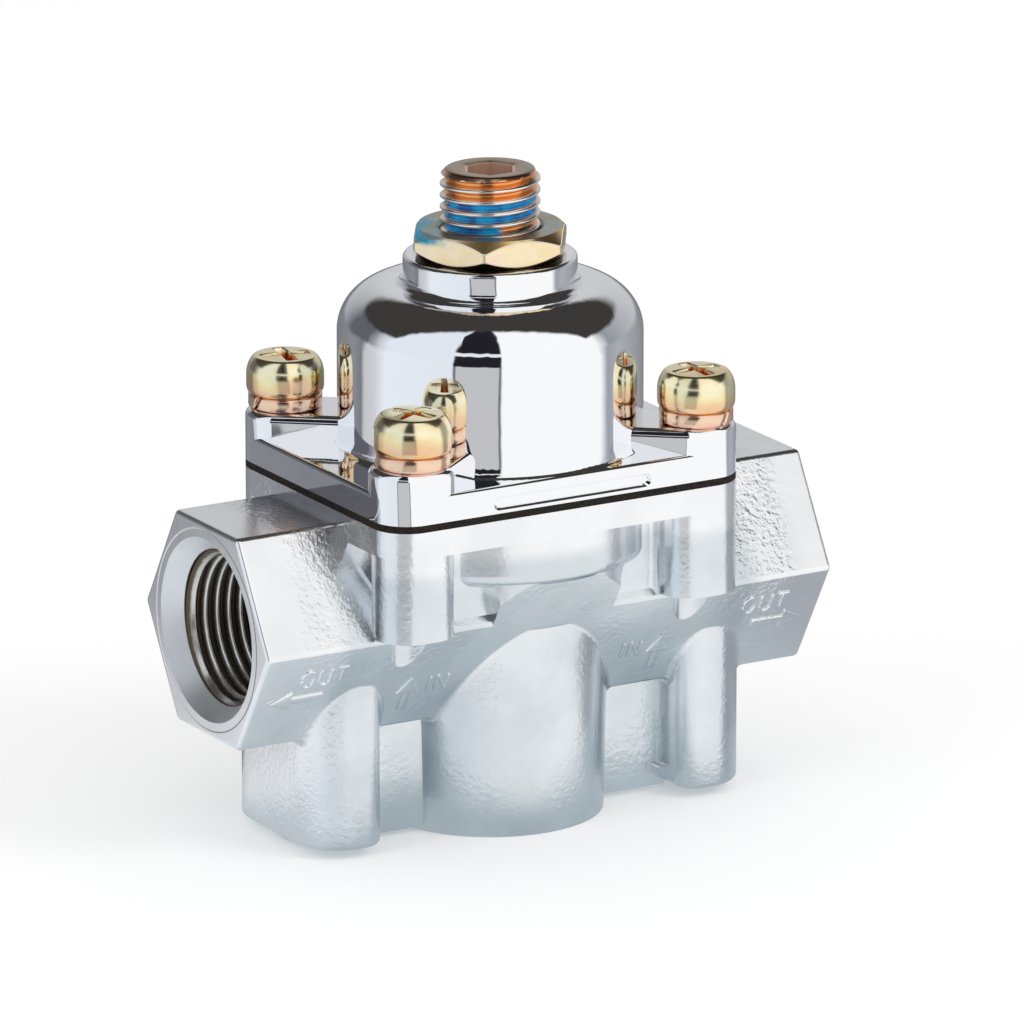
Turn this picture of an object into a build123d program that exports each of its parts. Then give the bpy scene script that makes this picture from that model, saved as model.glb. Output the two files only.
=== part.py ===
"""Adjustable fuel pressure regulator with two outlets and one inlet.

A die-cast body carries three pipe-thread ports. A diaphragm is clamped between the body
and a chrome bell cover. A spring in the bell pushes the diaphragm down, the adjusting
screw sets the spring, and a jam nut locks the screw. Below the diaphragm a small poppet
valve opens and closes the way from the inlet to the two outlets.

Frame: X runs through the two outlets, -Y is the front, +Z is up. The origin is on the
axis of the bell, in the flat bottom of the inlet boss. Lengths are in millimetres.
"""
import os
from math import atan2, degrees, sqrt

from build123d import *

os.makedirs("parts", exist_ok=True)

# Fits and clearances
thread_fit = 0.05
slide_fit = 0.08
working_gap = 0.3
hole_clearance = 0.25

# Outlet barrel: a hexagon along X with a pipe-thread port in each end
barrel_half_length = 35.05
barrel_af = 23.5
barrel_axis_z = 24.9
barrel_edge_r = 0.7
barrel_end_r = 0.5

# The ports
port_thread_r = 8.55
port_thread_length = 12.6
port_mouth_r = 9.7
port_mouth_depth = 1.3
port_lead_depth = 2.6
port_drill_r = 4.5
port_drill_cone = 2.4

# Flange outline shared by body, diaphragm and cover
flange_x = 44.2
flange_y = 35.0
flange_corner_r = 4.0
screw_pitch_x = 35.1
screw_pitch_y = 27.6

# Body above the barrel
body_top_z = 37.6
body_band_height = 2.9
column_r = 4.4
column_front_r = 3.5
column_bottom_z = 25.3
window_depth = 4.5
end_wall_depth = 1.5
window_corner_r = 1.0
bowl_setback = 0.3
bowl_bottom_z = 29.1
bowl_edge_r = 1.6
bowl_cavity_r = 14.0
bowl_floor_z = 31.5
bowl_floor_rise = 1.5
neck_half_width = 7.5
neck_flare = 3.0
neck_setback = 0.5
neck_lap = 1.0

# Body below the barrel
inlet_boss_r = 12.3
inlet_boss_top_z = 23.2
inlet_boss_draft = 1.2
foot_bottom_z = 1.0
foot_inner_x = 18.6
foot_outer_x = 27.2
foot_half_y = 10.3
foot_top_z = 20.0
foot_outer_r = 5.0
foot_inner_r = 2.6
foot_edge_r = 0.6
foot_hole_r = 2.55
foot_hole_depth = 11.0
web_half_thickness = 5.0
web_bottom_z = 0.6
web_overlap = 0.5
web_groove_width = 1.1
web_groove_bottom_z = 2.4
web_groove_depth = 1.0
casting_fillet = 1.0

# Passages in the body
inlet_thread_top_z = 11.3
inlet_relief_height = 1.0
valve_shoulder_z = 14.5
valve_bore_r = 6.45
valve_step_r = 7.6
chamber_r = 10.0
chamber_floor_z = 21.5
tapped_hole_r = 2.4
tapped_hole_bottom_z = 20.4
drill_point_height = 1.4

# Diaphragm
diaphragm_thickness = 0.8
fold_mean_r = 12.5
fold_height_r = 1.2

# Cover
cover_flange_height = 3.0
cover_flange_edge_r = 0.5
pad_height = 5.7
pad_edge_r = 0.9
pad_corner_r = 3.0
bell_r = 16.5
bell_flare_width = 0.5
bell_flare_height = 1.3
bell_top_z = 58.7
bell_shoulder_r = 5.3
bell_wall = 2.3
bell_roof = 2.8
collar_r = 9.4
collar_top_z = 61.9
collar_root_r = 0.9
collar_edge_r = 0.5
label_recess_length = 19.5
label_recess_height = 1.5
label_recess_depth = 0.35
label_recess_z = 1.1

# Cover screws and their lock washers
screw_shank_r = 2.35
screw_head_r = 4.22
screw_head_height = 4.05
screw_head_top_r = 1.7
screw_head_bottom_r = 0.5
screw_length = 15.5
screw_tip_chamfer = 0.6
slot_width = 1.1
slot_length = 5.4
slot_depth = 1.5
washer_outer_r = 3.95
washer_inner_r = 2.65
washer_thickness = 1.6
washer_gap = 0.5
washer_gap_slant = 25.0
washer_edge_r = 0.3

# How the cross in each screw head and the gap in each washer came to rest, in degrees from X
slot_turns = (-12.0, 25.0, 2.0, 40.0)
gap_turns = (190.0, 62.0, -70.0, 20.0)

# Adjusting screw, jam nut and spring seat
adjuster_r = 5.4
adjuster_top_z = 71.25
adjuster_bottom_z = 54.4
adjuster_end_chamfer = 0.7
socket_af = 4.8
socket_depth = 5.5
nut_af = 15.9
nut_thickness = 3.1
nut_turn = -4.0
nut_chamfer = 1.1
nut_face_inset = 0.15
nut_bore_chamfer = 0.4
nut_seat_gap = 0.05
seat_disc_r = 10.4
seat_disc_thickness = 1.2
seat_pilot_r = 6.6
seat_pilot_height = 1.2
seat_pilot_edge_r = 0.5

# Diaphragm stack
plate_r = 10.9
plate_thickness = 0.8
plate_rim_height = 1.6
lower_plate_r = 10.2
rivet_shank_r = 2.0
rivet_head_r = 3.2
rivet_head_height = 1.0
rivet_head_chamfer = 0.5
pusher_r = 2.4
pusher_bottom_z = 33.0

# Springs
main_wire_r = 0.85
main_mean_r = 8.4
main_turns = 4.5
valve_wire_r = 0.3
valve_mean_r = 3.1
valve_turns = 3.5
wire_sides = 8

# Inlet valve
insert_skirt_r = 4.9
insert_shoulder_height = 1.1
insert_bottom_z = 12.9
ring_thickness = 0.5
orifice_r = 2.6
seat_underside_z = 18.7
seat_lip_height = 0.5
seat_lip_width = 0.5
seat_lip_slope = 0.3
poppet_head_r = 4.0
poppet_head_height = 2.0
poppet_stem_r = 1.3
poppet_tail_r = 0.9
poppet_tail_lift = 0.1
retainer_thickness = 0.6
retainer_seat_height = 0.3
retainer_hole_r = 1.1

# Sizes that follow from the ones above
diaphragm_top_z = body_top_z + diaphragm_thickness
cover_ledge_z = diaphragm_top_z + cover_flange_height
pad_top_z = diaphragm_top_z + pad_height
bell_roof_z = bell_top_z - bell_roof
bell_inner_r = bell_r - bell_wall
barrel_bottom_z = barrel_axis_z - barrel_af / 2
barrel_point_y = barrel_af / sqrt(3)
panel_y = flange_y / 2 - window_depth
end_wall_x = flange_x / 2 - end_wall_depth
bowl_outer_r = flange_y / 2 - bowl_setback
screw_angle = degrees(atan2(screw_pitch_y, screw_pitch_x))
pad_half_width = (flange_x - screw_pitch_x) / 2
screw_hole_r = screw_shank_r + hole_clearance
seat_disc_z = adjuster_bottom_z - seat_disc_thickness
upper_plate_z = diaphragm_top_z + plate_thickness
head_z = pad_top_z + washer_thickness
poppet_head_z = seat_underside_z - working_gap - seat_lip_height


def flange_outline():
    """The rounded rectangle that body, diaphragm and cover share, for the sketch in use."""
    RectangleRounded(flange_x, flange_y, flange_corner_r)


# Body: barrel, upper block with screw columns and bowl, inlet boss, feet and webs

with BuildPart() as neck:
    # from the barrel up to the bowl, flared where it meets the bowl
    neck_bottom_z = barrel_axis_z - neck_lap
    neck_top_z = bowl_bottom_z + bowl_edge_r
    neck_top_half_width = neck_half_width + neck_flare
    flare_z = neck_top_z - neck_flare
    with BuildSketch(Plane.XZ.offset(bowl_outer_r)):
        with BuildLine():
            Polyline(
                (-neck_half_width, flare_z),
                (-neck_half_width, neck_bottom_z),
                (neck_half_width, neck_bottom_z),
                (neck_half_width, flare_z),
            )
            RadiusArc((neck_half_width, flare_z), (neck_top_half_width, neck_top_z), neck_flare)
            Line((neck_top_half_width, neck_top_z), (-neck_top_half_width, neck_top_z))
            RadiusArc((-neck_top_half_width, neck_top_z), (-neck_half_width, flare_z), neck_flare)
        make_face()
    extrude(amount=-2 * bowl_outer_r)
    # its face carries on the slanted lower side of the hexagon
    neck_bottom_y = barrel_point_y + (neck_bottom_z - barrel_axis_z) / sqrt(3)
    neck_top_y = barrel_point_y + (neck_top_z - barrel_axis_z) / sqrt(3)
    with BuildSketch(Plane.YZ.offset(-neck_top_half_width)):
        with BuildLine():
            Polyline(
                (-neck_bottom_y, neck_bottom_z),
                (neck_bottom_y, neck_bottom_z),
                (neck_top_y, neck_top_z),
                (-neck_top_y, neck_top_z),
                close=True,
            )
        make_face()
    extrude(amount=2 * neck_top_half_width, mode=Mode.INTERSECT)
    with BuildSketch(Plane.XY.offset(neck_bottom_z)):
        Circle(bowl_outer_r - neck_setback)
    extrude(amount=neck_top_z - neck_bottom_z, mode=Mode.INTERSECT)

with BuildPart() as body:
    # hexagonal barrel, softened along its edges and round its two ends
    with BuildSketch(Plane.YZ.offset(-barrel_half_length)) as barrel_end:
        with Locations((0, barrel_axis_z)):
            RegularPolygon(barrel_af / 2, 6, major_radius=False)
        fillet(barrel_end.vertices(), barrel_edge_r)
    extrude(amount=2 * barrel_half_length)
    fillet(body.faces().filter_by(Axis.X).edges(), barrel_end_r)

    # two feet, each a rounded block with a flat outer wall
    with BuildSketch(Plane.XY.offset(foot_bottom_z)) as foot_plan:
        for side in (-1, 1):
            with Locations((side * (foot_inner_x + foot_outer_x) / 2, 0)):
                Rectangle(foot_outer_x - foot_inner_x, 2 * foot_half_y)
        outer_corners = [v for v in foot_plan.vertices() if abs(v.X) > foot_outer_x - 0.1]
        fillet(outer_corners, foot_outer_r)
        inner_corners = [v for v in foot_plan.vertices() if abs(v.X) < foot_inner_x + 0.1]
        fillet(inner_corners, foot_inner_r)
    extrude(amount=foot_top_z - foot_bottom_z)

    # inlet boss, wider towards the barrel by its casting draft
    with BuildSketch(Plane.XY):
        Circle(inlet_boss_r)
    extrude(amount=inlet_boss_top_z, taper=-inlet_boss_draft)
    fillet(
        [
            e
            for e in body.edges()
            if e.geom_type not in (GeomType.LINE, GeomType.CIRCLE)
            and barrel_bottom_z < e.center().Z < barrel_axis_z
            and abs(e.center().X) < foot_outer_x
        ],
        casting_fillet,
    )
    foot_rim = [
        e
        for e in body.edges().filter_by(Plane.XY)
        if abs(e.center().Z - foot_bottom_z) < 0.01
    ]
    fillet(foot_rim, foot_edge_r)

    # webs between the boss and the feet, each with a groove beside the foot
    with BuildSketch(Plane.XY.offset(web_bottom_z)):
        Rectangle(2 * (foot_inner_x + web_overlap), 2 * web_half_thickness)
    extrude(amount=barrel_bottom_z - web_bottom_z + web_overlap)
    groove_x = foot_inner_x - web_groove_width / 2
    groove_z = (web_groove_bottom_z + barrel_bottom_z) / 2
    groove_length = barrel_bottom_z - web_groove_bottom_z
    for side in (-1, 1):
        with BuildSketch(Plane.XZ.offset(side * web_half_thickness)):
            with Locations((-groove_x, groove_z), (groove_x, groove_z)):
                SlotOverall(groove_length, web_groove_width, rotation=90)
        extrude(amount=-side * web_groove_depth, mode=Mode.SUBTRACT)

    # upper block: a round column under each screw, with a sunk wall between each two
    with BuildSketch(Plane.XY.offset(column_bottom_z)) as block_plan:
        Rectangle(2 * end_wall_x, 2 * panel_y)
        with GridLocations(screw_pitch_x, screw_pitch_y, 2, 2):
            Circle(column_r)
        wall_corners = [
            v
            for v in block_plan.vertices()
            if abs(v.X) < end_wall_x + 0.01 and abs(v.Y) < panel_y + 0.01
        ]
        fillet(wall_corners, window_corner_r)
        RectangleRounded(flange_x, flange_y, flange_corner_r, mode=Mode.INTERSECT)
        front_corners = [
            v
            for v in block_plan.vertices()
            if abs(v.Y) > flange_y / 2 - 0.01 and abs(v.X) < screw_pitch_x / 2
        ]
        fillet(front_corners, column_front_r)
    extrude(amount=body_top_z - column_bottom_z)
    with BuildSketch(Plane.XY.offset(body_top_z - body_band_height)):
        flange_outline()
    extrude(amount=body_band_height)

    # the diaphragm bowl bulges through both windows
    with BuildSketch(Plane.XZ):
        with BuildLine():
            Polyline(
                (0, body_top_z - body_band_height),
                (0, bowl_bottom_z),
                (bowl_outer_r - bowl_edge_r, bowl_bottom_z),
            )
            RadiusArc(
                (bowl_outer_r - bowl_edge_r, bowl_bottom_z),
                (bowl_outer_r, bowl_bottom_z + bowl_edge_r),
                -bowl_edge_r,
            )
            Polyline(
                (bowl_outer_r, bowl_bottom_z + bowl_edge_r),
                (bowl_outer_r, body_top_z - body_band_height),
                (0, body_top_z - body_band_height),
            )
        make_face()
    revolve(axis=Axis.Z)

    # the neck below the bowl
    add(neck.part)

    # ports and cross passage, turned about the barrel's axis
    with BuildSketch(Plane.XZ):
        port_end_x = barrel_half_length
        thread_start_x = port_end_x - port_lead_depth
        thread_end_x = thread_start_x - port_thread_length
        drill_x = thread_end_x - port_drill_cone
        with BuildLine():
            Polyline(
                (-port_end_x, barrel_axis_z),
                (-port_end_x, barrel_axis_z + port_mouth_r),
                (-port_end_x + port_mouth_depth, barrel_axis_z + port_mouth_r),
                (-thread_start_x, barrel_axis_z + port_thread_r),
                (-thread_end_x, barrel_axis_z + port_thread_r),
                (-drill_x, barrel_axis_z + port_drill_r),
                (drill_x, barrel_axis_z + port_drill_r),
                (thread_end_x, barrel_axis_z + port_thread_r),
                (thread_start_x, barrel_axis_z + port_thread_r),
                (port_end_x - port_mouth_depth, barrel_axis_z + port_mouth_r),
                (port_end_x, barrel_axis_z + port_mouth_r),
                (port_end_x, barrel_axis_z),
                close=True,
            )
        make_face()
    revolve(axis=Axis((0, 0, barrel_axis_z), (1, 0, 0)), mode=Mode.SUBTRACT)

    # inlet port, valve bore, centre chamber and diaphragm bowl, turned about Z
    with BuildSketch(Plane.XZ):
        with BuildLine():
            Polyline(
                (0, 0),
                (port_mouth_r, 0),
                (port_mouth_r, port_mouth_depth),
                (port_thread_r, port_lead_depth),
                (port_thread_r, inlet_thread_top_z),
                (valve_step_r, inlet_thread_top_z + inlet_relief_height),
                (valve_step_r, valve_shoulder_z),
                (valve_bore_r, valve_shoulder_z),
                (valve_bore_r, chamber_floor_z),
                (chamber_r, chamber_floor_z),
                (chamber_r, bowl_floor_z),
                (bowl_cavity_r, bowl_floor_z + bowl_floor_rise),
                (bowl_cavity_r, body_top_z),
                (0, body_top_z),
                close=True,
            )
        make_face()
    revolve(axis=Axis.Z, mode=Mode.SUBTRACT)

    # tapped holes for the cover screws; the drill leaves each column and nicks the barrel
    with Locations(Plane.XY.offset(body_top_z)):
        with GridLocations(screw_pitch_x, screw_pitch_y, 2, 2):
            Hole(tapped_hole_r, depth=body_top_z - tapped_hole_bottom_z)
    with Locations(Plane.XY.offset(tapped_hole_bottom_z).rotated((180, 0, 0))):
        with GridLocations(screw_pitch_x, screw_pitch_y, 2, 2):
            Cone(
                tapped_hole_r,
                0,
                drill_point_height,
                align=(Align.CENTER, Align.CENTER, Align.MIN),
                mode=Mode.SUBTRACT,
            )

    # a hole for a bracket screw in each foot
    with Locations(Plane.XY.offset(foot_bottom_z).rotated((180, 0, 0))):
        with GridLocations(foot_inner_x + foot_outer_x, 0, 2, 1):
            Hole(foot_hole_r, depth=foot_hole_depth)
body.part.label = "body"

# Diaphragm: a sheet clamped under the whole flange, with one raised fold inside the bell

with BuildPart() as diaphragm:
    with BuildSketch(Plane.XY.offset(body_top_z)):
        flange_outline()
    extrude(amount=diaphragm_thickness)
    with BuildSketch(Plane.XZ):
        with Locations((fold_mean_r, diaphragm_top_z - diaphragm_thickness)):
            Circle(fold_height_r)
        with Locations((fold_mean_r, diaphragm_top_z - diaphragm_thickness - fold_height_r)):
            Rectangle(4 * fold_height_r, 2 * fold_height_r, mode=Mode.SUBTRACT)
    revolve(axis=Axis.Z)
    with BuildSketch(Plane.XZ):
        with Locations((fold_mean_r, body_top_z)):
            Circle(fold_height_r - diaphragm_thickness / 2)
        with Locations((fold_mean_r, body_top_z - fold_height_r)):
            Rectangle(4 * fold_height_r, 2 * fold_height_r, mode=Mode.SUBTRACT)
    revolve(axis=Axis.Z, mode=Mode.SUBTRACT)
    with Locations(Plane.XY.offset(diaphragm_top_z)):
        with GridLocations(screw_pitch_x, screw_pitch_y, 2, 2):
            Hole(screw_hole_r)
        Hole(rivet_shank_r + thread_fit)
diaphragm.part.label = "diaphragm"

# Cover: flange, four screw pads that run into the bell, the bell and its threaded collar

with BuildPart() as pad:
    # flush with the flange's corner outside, parallel-sided where it runs back to the bell
    with BuildSketch(Plane.XY.offset(diaphragm_top_z)) as pad_plan:
        with Locations(Location((0, 0, 0), (0, 0, screw_angle))):
            Rectangle(flange_x, 2 * pad_half_width, align=(Align.MIN, Align.CENTER))
        Rectangle(flange_x, flange_y, mode=Mode.INTERSECT)
        corner_point = (flange_x / 2, flange_y / 2)
        fillet(pad_plan.vertices().sort_by_distance(corner_point)[0], flange_corner_r)
        fillet(pad_plan.vertices().sort_by_distance(corner_point)[2:4], pad_corner_r)
        Circle(bell_inner_r, mode=Mode.SUBTRACT)
    extrude(amount=pad_height)
    pad_rim = pad.faces().sort_by(Axis.Z)[-1].edges()
    fillet(pad_rim.sort_by_distance((0, 0, pad_top_z))[1:], pad_edge_r)

with BuildPart() as cover:
    with BuildSketch(Plane.XY.offset(diaphragm_top_z)):
        flange_outline()
    extrude(amount=cover_flange_height)
    fillet(cover.faces().sort_by(Axis.Z)[-1].edges(), cover_flange_edge_r)

    # one pad in each corner
    add(pad.part)
    add(pad.part.mirror(Plane.YZ))
    add(pad.part.mirror(Plane.XZ))
    add(pad.part.mirror(Plane.YZ).mirror(Plane.XZ))

    # the bell with its flared root, round shoulder and collar
    flare_foot_r = bell_r + bell_flare_width
    flare_top_z = cover_ledge_z + bell_flare_height
    with BuildSketch(Plane.XZ):
        with BuildLine():
            Line((0, diaphragm_top_z), (flare_foot_r, diaphragm_top_z))
            Line((flare_foot_r, diaphragm_top_z), (flare_foot_r, cover_ledge_z))
            Bezier((flare_foot_r, cover_ledge_z), (bell_r, cover_ledge_z), (bell_r, flare_top_z))
            Line((bell_r, flare_top_z), (bell_r, bell_top_z - bell_shoulder_r))
            RadiusArc(
                (bell_r, bell_top_z - bell_shoulder_r),
                (bell_r - bell_shoulder_r, bell_top_z),
                -bell_shoulder_r,
            )
            Line((bell_r - bell_shoulder_r, bell_top_z), (collar_r + collar_root_r, bell_top_z))
            RadiusArc(
                (collar_r + collar_root_r, bell_top_z),
                (collar_r, bell_top_z + collar_root_r),
                collar_root_r,
            )
            Line((collar_r, bell_top_z + collar_root_r), (collar_r, collar_top_z - collar_edge_r))
            RadiusArc(
                (collar_r, collar_top_z - collar_edge_r),
                (collar_r - collar_edge_r, collar_top_z),
                -collar_edge_r,
            )
            Line((collar_r - collar_edge_r, collar_top_z), (0, collar_top_z))
            Line((0, collar_top_z), (0, diaphragm_top_z))
        make_face()
    revolve(axis=Axis.Z)

    # nothing stands outside the flange outline
    with BuildSketch(Plane.XY.offset(diaphragm_top_z)):
        flange_outline()
    extrude(amount=collar_top_z - diaphragm_top_z, mode=Mode.INTERSECT)

    # spring chamber and the adjuster's bore
    with BuildSketch(Plane.XZ):
        with BuildLine():
            Polyline(
                (0, diaphragm_top_z),
                (bell_inner_r, diaphragm_top_z),
                (bell_inner_r, bell_roof_z - bell_shoulder_r + bell_wall),
                (bell_inner_r - bell_shoulder_r + bell_wall, bell_roof_z),
                (adjuster_r + thread_fit, bell_roof_z),
                (adjuster_r + thread_fit, collar_top_z),
                (0, collar_top_z),
                close=True,
            )
        make_face()
    revolve(axis=Axis.Z, mode=Mode.SUBTRACT)
    with Locations(Plane.XY.offset(pad_top_z)):
        with GridLocations(screw_pitch_x, screw_pitch_y, 2, 2):
            Hole(screw_hole_r)

    # shallow oblong recess in the front edge
    with BuildSketch(Plane.XZ.offset(flange_y / 2)):
        with Locations((0, diaphragm_top_z + label_recess_z)):
            SlotOverall(label_recess_length, label_recess_height)
    extrude(amount=-label_recess_depth, mode=Mode.SUBTRACT)
cover.part.label = "cover"

# Cover screws and split lock washers, one pair in each corner

corner_sides = ((-1, 1), (-1, -1), (1, -1), (1, 1))
cover_screws = []
lock_washers = []
for (side_x, side_y), slot_turn, gap_turn in zip(corner_sides, slot_turns, gap_turns):
    place = (side_x * screw_pitch_x / 2, side_y * screw_pitch_y / 2)

    with BuildPart() as cover_screw:
        with BuildSketch(Plane.XY.offset(head_z)):
            with Locations(place):
                Circle(screw_head_r)
        extrude(amount=screw_head_height)
        fillet(cover_screw.edges().sort_by(Axis.Z)[-1], screw_head_top_r)
        fillet(cover_screw.edges().sort_by(Axis.Z)[0], screw_head_bottom_r)
        with BuildSketch(Plane.XY.offset(head_z + screw_head_height)):
            with Locations(Location((place[0], place[1], 0), (0, 0, slot_turn))):
                Rectangle(slot_length, slot_width)
                Rectangle(slot_width, slot_length)
        extrude(amount=-slot_depth, mode=Mode.SUBTRACT)
        with BuildSketch(Plane.XY.offset(head_z)):
            with Locations(place):
                Circle(screw_shank_r)
        extrude(amount=-screw_length)
        chamfer(cover_screw.edges().sort_by(Axis.Z)[0], screw_tip_chamfer)
    cover_screws.append(cover_screw)
    cover_screw.part.label = f"cover_screw_{len(cover_screws)}"

    with BuildPart() as lock_washer:
        with BuildSketch(Plane.XY.offset(pad_top_z)):
            with Locations(place):
                Circle(washer_outer_r)
                Circle(washer_inner_r, mode=Mode.SUBTRACT)
        extrude(amount=washer_thickness)
        chamfer(lock_washer.edges().filter_by(GeomType.CIRCLE), washer_edge_r)
        gap_plane = Plane(
            origin=(place[0], place[1], pad_top_z + washer_thickness / 2),
            x_dir=(0, 0, 1),
            z_dir=Vector(1, 0, 0).rotate(Axis.Z, gap_turn),
        )
        with BuildSketch(gap_plane):
            Rectangle(3 * washer_thickness, washer_gap, rotation=washer_gap_slant)
        extrude(amount=washer_outer_r + 1.0, mode=Mode.SUBTRACT)
    lock_washers.append(lock_washer)
    lock_washer.part.label = f"lock_washer_{len(lock_washers)}"

# Adjusting screw with a hex socket in its top

with BuildPart() as adjusting_screw:
    with BuildSketch(Plane.XY.offset(adjuster_bottom_z)):
        Circle(adjuster_r)
    extrude(amount=adjuster_top_z - adjuster_bottom_z)
    chamfer(adjusting_screw.edges().filter_by(GeomType.CIRCLE), adjuster_end_chamfer)
    with BuildSketch(Plane.XY.offset(adjuster_top_z)):
        RegularPolygon(socket_af / 2, 6, major_radius=False)
    extrude(amount=-socket_depth, mode=Mode.SUBTRACT)
adjusting_screw.part.label = "adjusting_screw"

# Jam nut: a thin hexagon, its corners turned off at both faces

with BuildPart() as jam_nut:
    nut_bottom_z = collar_top_z + nut_seat_gap
    nut_corner_r = nut_af / 3**0.5
    with BuildSketch(Plane.XY.offset(nut_bottom_z)):
        RegularPolygon(nut_af / 2, 6, major_radius=False, rotation=nut_turn)
    extrude(amount=nut_thickness)
    with BuildSketch(Plane.XZ):
        with BuildLine():
            Polyline(
                (0, nut_bottom_z),
                (nut_af / 2 - nut_face_inset, nut_bottom_z),
                (nut_corner_r, nut_bottom_z + nut_chamfer),
                (nut_corner_r, nut_bottom_z + nut_thickness - nut_chamfer),
                (nut_af / 2 - nut_face_inset, nut_bottom_z + nut_thickness),
                (0, nut_bottom_z + nut_thickness),
                close=True,
            )
        make_face()
    revolve(axis=Axis.Z, mode=Mode.INTERSECT)
    with Locations(Plane.XY.offset(nut_bottom_z + nut_thickness)):
        Hole(adjuster_r + thread_fit)
    nut_circles = jam_nut.edges().filter_by(GeomType.CIRCLE)
    bore_edges = [e for e in nut_circles if e.radius < adjuster_r + working_gap]
    chamfer(bore_edges, nut_bore_chamfer)
jam_nut.part.label = "jam_nut"

# Spring seat: a pressed disc that pilots the spring and takes the end of the adjusting screw

with BuildPart() as spring_seat:
    with BuildSketch(Plane.XY.offset(seat_disc_z)):
        Circle(seat_disc_r)
    extrude(amount=seat_disc_thickness)
    with BuildSketch(Plane.XY.offset(seat_disc_z)):
        Circle(seat_pilot_r)
    extrude(amount=-seat_pilot_height)
    fillet(spring_seat.edges().sort_by(Axis.Z)[0], seat_pilot_edge_r)
spring_seat.part.label = "spring_seat"

# Plates and rivet that carry the diaphragm

with BuildPart() as upper_plate:
    with BuildSketch(Plane.XZ):
        with BuildLine():
            Polyline(
                (rivet_shank_r + thread_fit, diaphragm_top_z),
                (plate_r, diaphragm_top_z),
                (plate_r, diaphragm_top_z + plate_rim_height),
                (plate_r - plate_thickness, diaphragm_top_z + plate_rim_height),
                (plate_r - plate_thickness, upper_plate_z),
                (rivet_shank_r + thread_fit, upper_plate_z),
                close=True,
            )
        make_face()
    revolve(axis=Axis.Z)
upper_plate.part.label = "upper_plate"

with BuildPart() as lower_plate:
    with BuildSketch(Plane.XY.offset(body_top_z)):
        Circle(lower_plate_r)
        Circle(rivet_shank_r + thread_fit, mode=Mode.SUBTRACT)
    extrude(amount=-plate_thickness)
lower_plate.part.label = "lower_plate"

with BuildPart() as diaphragm_rivet:
    with BuildSketch(Plane.XZ):
        with BuildLine():
            Polyline(
                (0, pusher_bottom_z),
                (pusher_r, pusher_bottom_z),
                (pusher_r, body_top_z - plate_thickness),
                (rivet_shank_r, body_top_z - plate_thickness),
                (rivet_shank_r, upper_plate_z),
                (rivet_head_r, upper_plate_z),
                (rivet_head_r - rivet_head_chamfer, upper_plate_z + rivet_head_height),
                (0, upper_plate_z + rivet_head_height),
                close=True,
            )
        make_face()
    revolve(axis=Axis.Z)
diaphragm_rivet.part.label = "diaphragm_rivet"


def coil(wire_r, mean_r, turns, bottom_z, top_z):
    """A compression spring whose first and last turns are ground flat, as a private solid."""
    pitch = (top_z - bottom_z) / (turns - 1)
    with BuildPart() as spring:
        with BuildLine(Plane.XY.offset(bottom_z - pitch / 2)):
            Helix(pitch=pitch, height=turns * pitch, radius=mean_r)
        with BuildSketch(Plane(origin=(mean_r, 0, bottom_z - pitch / 2), z_dir=(0, 1, 0))):
            RegularPolygon(wire_r, wire_sides)
        sweep(is_frenet=True)
        with BuildSketch(Plane.XY.offset(bottom_z)):
            Circle(mean_r + 2 * wire_r)
        extrude(amount=top_z - bottom_z, mode=Mode.INTERSECT)
    return spring


main_spring = coil(main_wire_r, main_mean_r, main_turns, upper_plate_z, seat_disc_z)
main_spring.part.label = "main_spring"

# Inlet valve: brass insert, sealing ring, poppet, its spring and the spring's retainer

with BuildPart() as valve_seat:
    shoulder_top_z = valve_shoulder_z - ring_thickness
    with BuildSketch(Plane.XZ):
        with BuildLine():
            Polyline(
                (insert_skirt_r, insert_bottom_z),
                (valve_step_r - hole_clearance, insert_bottom_z),
                (valve_step_r - hole_clearance, shoulder_top_z),
                (valve_bore_r - thread_fit, shoulder_top_z),
                (valve_bore_r - thread_fit, chamber_floor_z),
                (orifice_r, chamber_floor_z),
                (orifice_r, seat_underside_z - seat_lip_height),
                (orifice_r + seat_lip_width, seat_underside_z - seat_lip_height),
                (orifice_r + seat_lip_width + seat_lip_slope, seat_underside_z),
                (insert_skirt_r, seat_underside_z),
                close=True,
            )
        make_face()
    revolve(axis=Axis.Z)
valve_seat.part.label = "valve_seat"

with BuildPart() as seat_ring:
    with BuildSketch(Plane.XY.offset(shoulder_top_z)):
        Circle(valve_step_r - hole_clearance)
        Circle(valve_bore_r, mode=Mode.SUBTRACT)
    extrude(amount=ring_thickness)
seat_ring.part.label = "seat_ring"

with BuildPart() as valve_poppet:
    with BuildSketch(Plane.XZ):
        with BuildLine():
            Polyline(
                (0, insert_bottom_z + poppet_tail_lift),
                (poppet_tail_r, insert_bottom_z + poppet_tail_lift),
                (poppet_tail_r, poppet_head_z - poppet_head_height),
                (poppet_head_r, poppet_head_z - poppet_head_height),
                (poppet_head_r, poppet_head_z),
                (poppet_stem_r, poppet_head_z),
                (poppet_stem_r, pusher_bottom_z),
                (0, pusher_bottom_z),
                close=True,
            )
        make_face()
    revolve(axis=Axis.Z)
valve_poppet.part.label = "valve_poppet"

retainer_top_z = insert_bottom_z + retainer_seat_height + retainer_thickness
with BuildPart() as valve_retainer:
    with BuildSketch(Plane.XY.offset(retainer_top_z)):
        Circle(insert_skirt_r)
        Circle(poppet_tail_r + slide_fit, mode=Mode.SUBTRACT)
        with PolarLocations((insert_skirt_r + poppet_tail_r) / 2, 6):
            Circle(retainer_hole_r, mode=Mode.SUBTRACT)
    extrude(amount=-retainer_thickness)
valve_retainer.part.label = "valve_retainer"

poppet_underside_z = poppet_head_z - poppet_head_height
valve_spring = coil(valve_wire_r, valve_mean_r, valve_turns, retainer_top_z, poppet_underside_z)
valve_spring.part.label = "valve_spring"

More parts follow.
